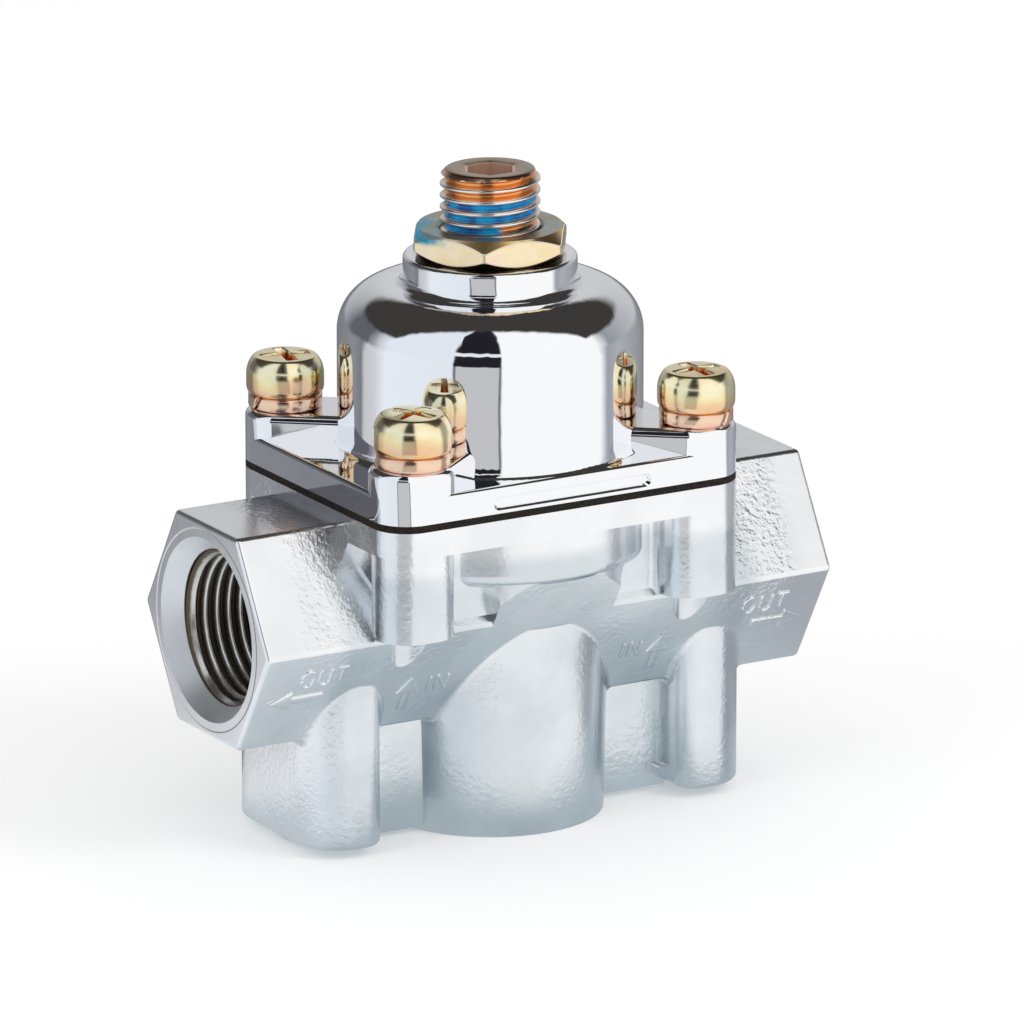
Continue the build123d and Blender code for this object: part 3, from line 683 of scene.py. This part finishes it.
def machined_finish(name, pale, dull, roughness, turning):
    """Turned or pressed metal: colour clouds, and fine rings round the part's axis at turning
    rings to the metre, which is a sine of the height."""
    material, start, inputs = new_finish(name, roughness=roughness)
    place = start.node("ShaderNodeTexCoord", output="Object")
    clouds = grain(start, place, 260.0)
    start.plug(inputs["Base Color"], clouds.between(0.3, 0.7).mixed(dull, pale))
    start.plug(inputs["Roughness"], roughness + clouds * 0.14 - 0.05)
    rings = start.maths("SINE", place.part(2) * (2.0 * math.pi * turning))
    grooves = rings * 0.5 + grain(start, place, 2600.0)
    start.plug(inputs["Normal"], raised(start, grooves, 0.004 * mm))
    return material


steel = machined_finish(
    "pressed_steel", (0.60, 0.60, 0.61, 1.0), (0.44, 0.44, 0.46, 1.0), 0.34, 3000.0
)
spring_steel = machined_finish(
    "drawn_spring_steel", (0.40, 0.40, 0.42, 1.0), (0.26, 0.26, 0.28, 1.0), 0.30, 5200.0
)
brass = machined_finish(
    "turned_brass", (0.83, 0.62, 0.27, 1.0), (0.66, 0.46, 0.19, 1.0), 0.24, 4200.0
)
for node in ("spring_seat", "upper_plate", "lower_plate", "diaphragm_rivet", "valve_retainer"):
    dress(cad_node[node], steel)
for node in ("main_spring", "valve_spring"):
    dress(cad_node[node], spring_steel)
for node in ("valve_seat", "valve_poppet"):
    dress(cad_node[node], brass)
fibre, start, inputs = new_finish("pressed_fibre", metallic=0.0, roughness=0.8)
place = start.node("ShaderNodeTexCoord", output="Object")
fibres = grain(start, place, 3200.0, 5.0, 0.7)
start.plug(
    inputs["Base Color"],
    fibres.between(0.3, 0.7).mixed((0.20, 0.06, 0.03, 1.0), (0.34, 0.12, 0.06, 1.0)),
)
start.plug(inputs["Normal"], raised(start, fibres, 0.03 * mm))
dress(cad_node["seat_ring"], fibre)

# The diaphragm is a fabric-backed rubber sheet. Its cut edge shows as a dark brown line all
# round between body and cover.

rubber, start, inputs = new_finish("fabric_rubber", metallic=0.0, roughness=0.62)
inputs["Specular IOR Level"].default_value = 0.15
place = start.node("ShaderNodeTexCoord", output="Object")
threads = grain(start, place, 2400.0, 4.0, 0.65)
start.plug(
    inputs["Base Color"],
    threads.between(0.35, 0.7).mixed((0.012, 0.010, 0.008, 1.0), (0.036, 0.028, 0.022, 1.0)),
)
start.plug(inputs["Roughness"], 0.5 + threads * 0.3)
start.plug(inputs["Normal"], raised(start, threads, 0.05 * mm))
dress(cad_node["diaphragm"], rubber)

# The cover is die cast, polished and chromed: a bell with a threaded collar on a flange with
# four screw pads. Polishing left it slightly wavy, so mirrored edges wander.

chrome, start, inputs = new_finish("bright_chrome", roughness=0.045)
inputs["Base Color"].default_value = (0.93, 0.94, 0.96, 1.0)
place = start.node("ShaderNodeTexCoord", output="Object")
waves = grain(start, place, 170.0, 2.0, 0.4)
specks = grain(start, place, 1900.0, 2.0)
start.plug(inputs["Roughness"], 0.03 + specks * 0.03)
start.plug(inputs["Normal"], raised(start, waves + specks * 0.006, 0.05 * mm))
cover_piece = merged_copy("cover", "chromed_cover")

# the oblong recess in the front edge gets sloping walls, as the die needs to let go
recess_floor_y = -17.15
recess_draft = 0.3
corners = mesh_points(cover_piece.data)
on_floor = np.abs(corners[:, 1] - recess_floor_y * mm) < 0.02 * mm
on_floor &= np.abs(corners[:, 0]) < 10.0 * mm
middle = corners[on_floor, 2].min() * 0.5 + corners[on_floor, 2].max() * 0.5
corners[on_floor, 2] = middle + (corners[on_floor, 2] - middle) * 0.6
corners[on_floor, 0] -= np.sign(corners[on_floor, 0]) * recess_draft * mm
move_points(cover_piece.data, corners)
even_normals(cover_piece.data, 24.0)
dress(cover_piece, chrome)
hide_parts("cover")
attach(cover_piece, "housing")

# Four fillister screws hold the cover. They are steel, plated with yellow zinc whose thin
# film turns gold, pink and green, and each has a cross recess in its crowned head.


def yellow_zinc(name, low_z, high_z, stops):
    """Iridescent yellow zinc: the film's colour changes in clouds and in fine speckle by a ramp
    of gold, pink and green, and with height on the piece, which paints highlight and shade
    through the ramp's stops. In a recess it is deep red."""
    material, start, inputs = new_finish(name, roughness=0.2)
    place = start.node("ShaderNodeTexCoord", output="Object")
    rise = start.node(
        "ShaderNodeMapRange",
        None,
        {"Value": place.part(2), "From Min": low_z * mm, "From Max": high_z * mm},
    )
    clouds = grain(start, place, 330.0, 3.0)
    speckle = grain(start, place, 5200.0, 3.0, 0.7)
    # height on the piece moves the colour along the ramp: painted highlight and shade by height
    film = rise * 0.62 + clouds * 0.62 + speckle * 0.1 - 0.2
    film = start.node("ShaderNodeValToRGB", {"stops": stops}, {0: film})
    sunk = start.node("ShaderNodeAttribute", {"attribute_name": "crest"}, None, 2)
    start.plug(inputs["Base Color"], sunk.between(0.1, 0.6).mixed(film, (0.80, 0.22, 0.08, 1.0)))
    start.plug(inputs["Roughness"], 0.10 + clouds * 0.10 + speckle * 0.05)
    start.plug(inputs["Normal"], raised(start, clouds + speckle * 0.05, 0.012 * mm))
    return material


screw_gold = yellow_zinc(
    "yellow_zinc_screw",
    45.4,
    49.9,
    [
        # up the head: darker gold and salmon low on the side are painted shade, and pale cream
        # high on it is a painted highlight
        (0.00, (0.42, 0.10, 0.03)),
        (0.08, (0.78, 0.46, 0.12)),
        (0.22, (0.90, 0.58, 0.30)),
        (0.36, (0.92, 0.62, 0.40)),
        (0.48, (0.93, 0.78, 0.42)),
        (0.62, (0.98, 0.92, 0.64)),
        (0.76, (0.96, 0.82, 0.50)),
        (0.88, (0.84, 0.64, 0.34)),
        (1.00, (0.95, 0.66, 0.46)),
    ],
)


def screw_surface(x, y, slot_turn):
    """The screw turned about its own axis: rows follow the outline from the tip up the shank,
    under the head, up its bulging side, over a tighter shoulder and in to the middle of its
    crown. Near the middle the crown is sunk by the depth of two crossed slots with sloping
    walls. The second grid is that depth, from 0 to 1."""
    under = np.linspace(-np.pi / 2, 0.0, 6)
    side = np.radians(np.linspace(0.0, 48.0, 9))
    shoulder = np.radians(np.linspace(46.0, 86.0, 7))
    crown = np.linspace(3.16, 0.0, 72)
    outline_r = np.concatenate(
        [
            [0.0, 1.75, 2.35, 2.35],
            3.81 + 0.4 * np.cos(under),
            2.11 + 2.1 * np.cos(side),
            3.179 + 0.45 * np.cos(shoulder),
            crown,
        ]
    )
    outline_z = np.concatenate(
        [
            [30.2, 30.2, 30.8, 45.7],
            46.5 + 0.8 * np.sin(under),
            47.66 + 2.6 * np.sin(side),
            49.294 + 0.45 * np.sin(shoulder),
            49.867 - 0.012 * crown**2,
        ]
    )
    turn = np.linspace(0.0, 2.0 * np.pi, 160, endpoint=False)[None, :]
    radius = outline_r[:, None]
    across = radius * np.cos(turn - math.radians(slot_turn))
    along = radius * np.sin(turn - math.radians(slot_turn))
    slot_half_width, slot_reach, slot_depth = 0.62, 2.75, 1.5
    sunk = np.zeros_like(across)
    for one, other in ((across, along), (along, across)):
        side_wall = np.clip((slot_half_width - np.abs(one)) / 0.16, 0.0, 1.0)
        end_wall = np.clip((slot_reach - np.abs(other)) / 0.75, 0.0, 1.0)
        sunk = np.maximum(sunk, side_wall * end_wall)
    sunk = sunk * (outline_z[:, None] > 49.0)
    height = outline_z[:, None] - slot_depth * sunk
    return np.stack([x + radius * np.cos(turn), y + radius * np.sin(turn), height], axis=-1), sunk


# each screw's number, its x and y, and the angle of its slots
screw_places = (
    (1, -17.55, 13.8, -12.0),
    (2, -17.55, -13.8, 25.0),
    (3, 17.55, -13.8, 2.0),
    (4, 17.55, 13.8, 40.0),
)
for number, x, y, slot_turn in screw_places:
    points, sunk = screw_surface(x, y, slot_turn)
    mesh = grid_mesh(f"plated_screw_{number}", points, around=True, crest=sunk)
    piece = new_piece(f"plated_screw_{number}", mesh, screw_gold, "housing")
    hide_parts(f"cover_screw_{number}")

# Under each head sits a split lock washer: a ring of square spring wire, cut through on a
# slant and plated with the same yellow zinc. The head presses it flat on its pad.

washer_gold = yellow_zinc(
    "yellow_zinc_washer",
    44.1,
    45.8,
    [
        # up the washer: darker gold at its foot, and dark red-brown at its top, a painted shade
        # under the head
        (0.00, (0.70, 0.36, 0.18)),
        (0.28, (0.92, 0.60, 0.48)),
        (0.45, (0.94, 0.70, 0.46)),
        (0.60, (0.93, 0.66, 0.52)),
        (0.80, (0.86, 0.50, 0.28)),
        (1.00, (0.50, 0.12, 0.05)),
    ],
)


def washer_surface(x, y, gap_turn):
    """The ring's square section with rounded corners carried round the screw, from one side
    of the cut to the other. The cut leans, so the angle of a point shifts with its height."""
    wire_r, middle_z, cut_width, cut_lean = 3.3, 44.9, 0.5, math.radians(25.0)
    corner = np.linspace(0.0, np.pi / 2, 5)
    section_r = np.concatenate(
        [
            3.61 + 0.4 * np.cos(corner),
            2.95 - 0.3 * np.sin(corner),
            2.95 - 0.3 * np.cos(corner),
            3.61 + 0.4 * np.sin(corner),
        ]
    )
    section_z = np.concatenate(
        [
            0.5 + 0.3 * np.sin(corner),
            0.5 + 0.3 * np.cos(corner),
            -0.5 - 0.3 * np.sin(corner),
            -0.5 - 0.3 * np.cos(corner),
        ]
    )
    opening = 0.5 * cut_width / wire_r
    turn = np.linspace(opening, 2.0 * np.pi - opening, 120)
    shrink = np.ones(len(turn) + 2)
    shrink[0] = shrink[-1] = 0.0
    turn = np.concatenate([turn[:1], turn, turn[-1:]])[:, None]
    radius = wire_r + (section_r[None, :] - wire_r) * shrink[:, None]
    height = section_z[None, :] * shrink[:, None]
    turn = math.radians(gap_turn) + turn + height * math.tan(cut_lean) / wire_r
    return np.stack(
        [x + radius * np.cos(turn), y + radius * np.sin(turn), middle_z + height], axis=-1
    )


for (number, x, y, _), gap_turn in zip(screw_places, (190.0, 62.0, -70.0, 20.0)):
    mesh = grid_mesh(f"split_washer_{number}", washer_surface(x, y, gap_turn), around=True)
    piece = new_piece(f"split_washer_{number}", mesh, washer_gold, "housing")
    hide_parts(f"lock_washer_{number}")

# The adjusting screw is a yellow zinc set screw with a fine thread and a hexagon socket. A
# band of blue thread locker lies in its grooves just above the nut.


def adjuster_surface():
    """Rows run from the middle of the lower end out, up the thread, over the top and down the
    socket to its middle. On the thread the radius is the groove's plus the V thread's height;
    in the socket it is a hexagon's, the half width over the cosine of the angle to a flat."""
    low_z, top_z, columns = 54.4, 71.25, 180
    crest_r, depth, pitch = 5.4, 0.78, 1.27
    turn = np.linspace(0.0, 2.0 * np.pi, columns, endpoint=False)[None, :]
    z = np.linspace(low_z, top_z, 260)[:, None]
    height = thread_height(z / pitch - turn / (2.0 * np.pi) - 0.37)
    radius = crest_r - depth + depth * height
    from_end = np.minimum(top_z - z, z - low_z)
    radius = np.minimum(radius, 4.75 + 0.95 * from_end)
    flat_angle = np.mod(turn, math.pi / 3) - math.pi / 6
    socket_r = 2.4 / np.cos(flat_angle)
    rows_r = [np.zeros_like(socket_r), radius[:1] * 0.5, radius]
    rows_z = [low_z, low_z, z]
    for share, at_z in ((0.35, top_z), (0.8, top_z), (1.0, top_z - 0.13)):
        rows_r.append(radius[-1:] + (socket_r + 0.12 * (share < 1.0) - radius[-1:]) * share)
        rows_z.append(at_z)
    for at_z in np.linspace(70.9, 65.75, 12):
        rows_r.append(socket_r)
        rows_z.append(at_z)
    rows_r += [socket_r * 0.9, socket_r * 0.0]
    rows_z += [65.7, 65.0]
    all_r = np.vstack([np.broadcast_to(r, (r.shape[0], columns)) for r in rows_r])
    all_z = np.vstack(
        [
            np.broadcast_to(np.atleast_2d(at_z), (r.shape[0], columns))
            for r, at_z in zip(rows_r, rows_z)
        ]
    )
    return np.stack([all_r * np.cos(turn), all_r * np.sin(turn), all_z], axis=-1)


adjuster_gold, start, inputs = new_finish("yellow_zinc_adjuster", roughness=0.2)
place = start.node("ShaderNodeTexCoord", output="Object")
screw_z = place.part(2)
out_r = place.times((1.0, 1.0, 0.0)).length()
on_crest = out_r.between(4.66 * mm, 5.38 * mm)
clouds = grain(start, place, 420.0)
speckle = grain(start, place, 5200.0, 3.0, 0.7)
# painted highlight: the film is near white on the thread's crests and stays orange in its grooves
film = start.node(
    "ShaderNodeValToRGB",
    {
        "stops": [
            (0.00, (0.80, 0.30, 0.07)),
            (0.30, (0.86, 0.42, 0.16)),
            (0.50, (0.86, 0.50, 0.34)),
            (0.68, (0.96, 0.78, 0.68)),
            (0.85, (0.98, 0.90, 0.84)),
            (1.00, (1.00, 0.95, 0.91)),
        ]
    },
    {0: on_crest * 0.62 + clouds * 0.5 - 0.05 + speckle * 0.08},
)

# two grooves of locker all round, and one below them on the left side only
band = screw_z.between(65.6 * mm, 65.9 * mm) * (1.0 - screw_z.between(68.4 * mm, 68.6 * mm))
ragged_x = place.part(0) + grain(start, place, 900.0) * (3.0 * mm)
low_left = 1.0 - ragged_x.between(-0.6 * mm, 0.6 * mm)
low_left = low_left * screw_z.between(64.0 * mm, 64.2 * mm) * (1.0 - band)
low_left = low_left * (1.0 - screw_z.between(65.7 * mm, 65.9 * mm))
locker = (band + low_left) * (1.0 - on_crest.between(0.18, 0.5))
locker = locker * grain(start, place, 240.0).between(0.30, 0.40)
blue = clouds.between(0.35, 0.65).mixed((0.0, 0.13, 0.42, 1.0), (0.0, 0.42, 0.80, 1.0))
rim = screw_z.between(71.13 * mm, 71.22 * mm)
rim_film = clouds.between(0.35, 0.65).mixed((0.27, 0.24, 0.14, 1.0), (0.38, 0.24, 0.16, 1.0))
in_socket = (1.0 - out_r.between(2.80 * mm, 2.92 * mm)) * (1.0 - rim)
colour = locker.mixed(rim.mixed(film, rim_film), blue)
start.plug(inputs["Base Color"], in_socket.mixed(colour, (0.62, 0.40, 0.30, 1.0)))
start.plug(inputs["Metallic"], 1.0 - locker - in_socket * 0.7)
start.plug(inputs["Roughness"], 0.14 + clouds * 0.12 + locker * 0.2)
start.plug(inputs["Normal"], raised(start, clouds * 0.6 + speckle * 0.08 + locker, 0.02 * mm))
mesh = grid_mesh("threaded_adjuster", adjuster_surface(), around=True)
mesh.set_sharp_from_angle(angle=math.radians(50.0))
piece = new_piece("threaded_adjuster", mesh, adjuster_gold, "adjuster")
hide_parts("adjusting_screw")

# A thin jam nut of yellow zinc steel locks the adjusting screw on the collar. Its corners are
# turned off at both faces, so every flat ends in two curved edges. Locker has run over its
# left side.


def nut_surface():
    """Rows go round the nut's section and columns round the screw. Outside, the radius is a
    hexagon's, and each face drops along a 39 degree cone wherever the hexagon reaches past the
    turned circle. The second grid tells its parts: 0 on the faces, 0.5 on the cones that turn
    the corners off, and 1 on the flats."""
    low, high = 61.95, 65.05
    flat_r, corner_r, nut_bore_r, turned_r, face_r = 7.95, 9.08, 5.45, 7.8, 7.72
    first_corner = math.radians(-4.0)
    turn = first_corner + np.linspace(0.0, 2.0 * np.pi, 240, endpoint=False)[None, :]
    to_flat = np.mod(turn - first_corner, math.pi / 3) - math.pi / 6
    hexagon = np.minimum(flat_r / np.cos(to_flat), corner_r)
    drop = np.maximum(hexagon - turned_r, 0.0) * math.tan(math.radians(38.6))
    edge = 0.12
    bore = np.full_like(hexagon, nut_bore_r)
    face = np.full_like(hexagon, face_r)
    share = np.linspace(0.0, 1.0, 9)[:, None]
    cone_r = turned_r + (hexagon - edge - turned_r) * share
    rows_r = np.vstack(
        [
            bore,
            bore,
            bore + 0.4,
            np.full_like(bore, 6.8),
            face,
            cone_r,
            hexagon,
            hexagon,
            cone_r[::-1],
            face,
            np.full_like(bore, 6.8),
            bore + 0.4,
        ]
    )
    rows_z = np.vstack(
        [
            bore * 0 + low + 0.4,
            bore * 0 + high - 0.4,
            bore * 0 + high,
            bore * 0 + high,
            bore * 0 + high,
            high - drop * share,
            high - drop - edge,
            low + drop + edge,
            low + drop * share[::-1],
            bore * 0 + low,
            bore * 0 + low,
            bore * 0 + low,
        ]
    )
    part = np.repeat([0.0, 0.5, 1.0, 0.5, 0.0], [5, 9, 2, 9, 3])[:, None]
    points = np.stack([rows_r * np.cos(turn), rows_r * np.sin(turn), rows_z], axis=-1)
    return points, np.broadcast_to(part, rows_r.shape)


nut_gold, start, inputs = new_finish("yellow_zinc_nut", roughness=0.24)
place = start.node("ShaderNodeTexCoord", output="Object")
clouds = grain(start, place, 300.0)
speckle = grain(start, place, 4200.0, 3.0, 0.7)
film = start.node(
    "ShaderNodeValToRGB",
    {
        "stops": [
            (0.00, (0.84, 0.56, 0.28)),
            (0.35, (0.95, 0.76, 0.46)),
            (0.55, (0.98, 0.84, 0.56)),
            (0.75, (0.97, 0.76, 0.60)),
            (1.00, (0.80, 0.74, 0.34)),
        ]
    },
    {0: clouds + speckle * 0.12 - 0.04},
)
leftwards = place.dot((-0.93, 0.36, 0.0))
nut_z = place.part(2)
smear = (leftwards + grain(start, place, 420.0, 4.0) * (6.0 * mm)).between(8.2 * mm, 10.6 * mm)
smear = smear * (nut_z + clouds * (0.8 * mm)).between(64.2 * mm, 64.9 * mm)
part = start.node("ShaderNodeAttribute", {"attribute_name": "crest"}, None, 2)
face_film = clouds.between(0.35, 0.65).mixed((0.40, 0.46, 0.42, 1.0), (0.44, 0.38, 0.24, 1.0))
cone_film_and_shade = clouds.between(0.35, 0.65).mixed((0.84, 0.56, 0.20, 1.0), (0.70, 0.52, 0.34, 1.0))
# painted shade: the cones at the lower face, which face down, are coloured nearly black
cone_film_and_shade = nut_z.between(62.7 * mm, 63.4 * mm).mixed((0.07, 0.045, 0.02, 1.0), cone_film_and_shade)
film = part.between(0.52, 0.70).mixed(cone_film_and_shade, film)
film = part.between(0.10, 0.44).mixed(face_film, film)
# painted highlight: a near-white, less metallic line where each cone meets its flat
painted_edge_highlight = part.between(0.55, 0.70) * (1.0 - part.between(0.86, 0.98))
film = painted_edge_highlight.mixed(film, (1.00, 0.95, 0.86, 1.0))
start.plug(inputs["Base Color"], smear.mixed(film, (0.01, 0.33, 0.52, 1.0)))
start.plug(inputs["Metallic"], 1.0 - smear * 0.8 - painted_edge_highlight * (1.0 - smear) * 0.95)
start.plug(inputs["Roughness"], 0.2 + clouds * 0.12 + speckle * 0.08)
start.plug(inputs["Normal"], raised(start, clouds * 0.5 + speckle * 0.12 + smear, 0.015 * mm))
points, part = nut_surface()
mesh = grid_mesh("plated_jam_nut", points, around=True, along=True, crest=part)
mesh.set_sharp_from_angle(angle=math.radians(28.0))
piece = new_piece("plated_jam_nut", mesh, nut_gold, "lock_nut")
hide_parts("jam_nut")
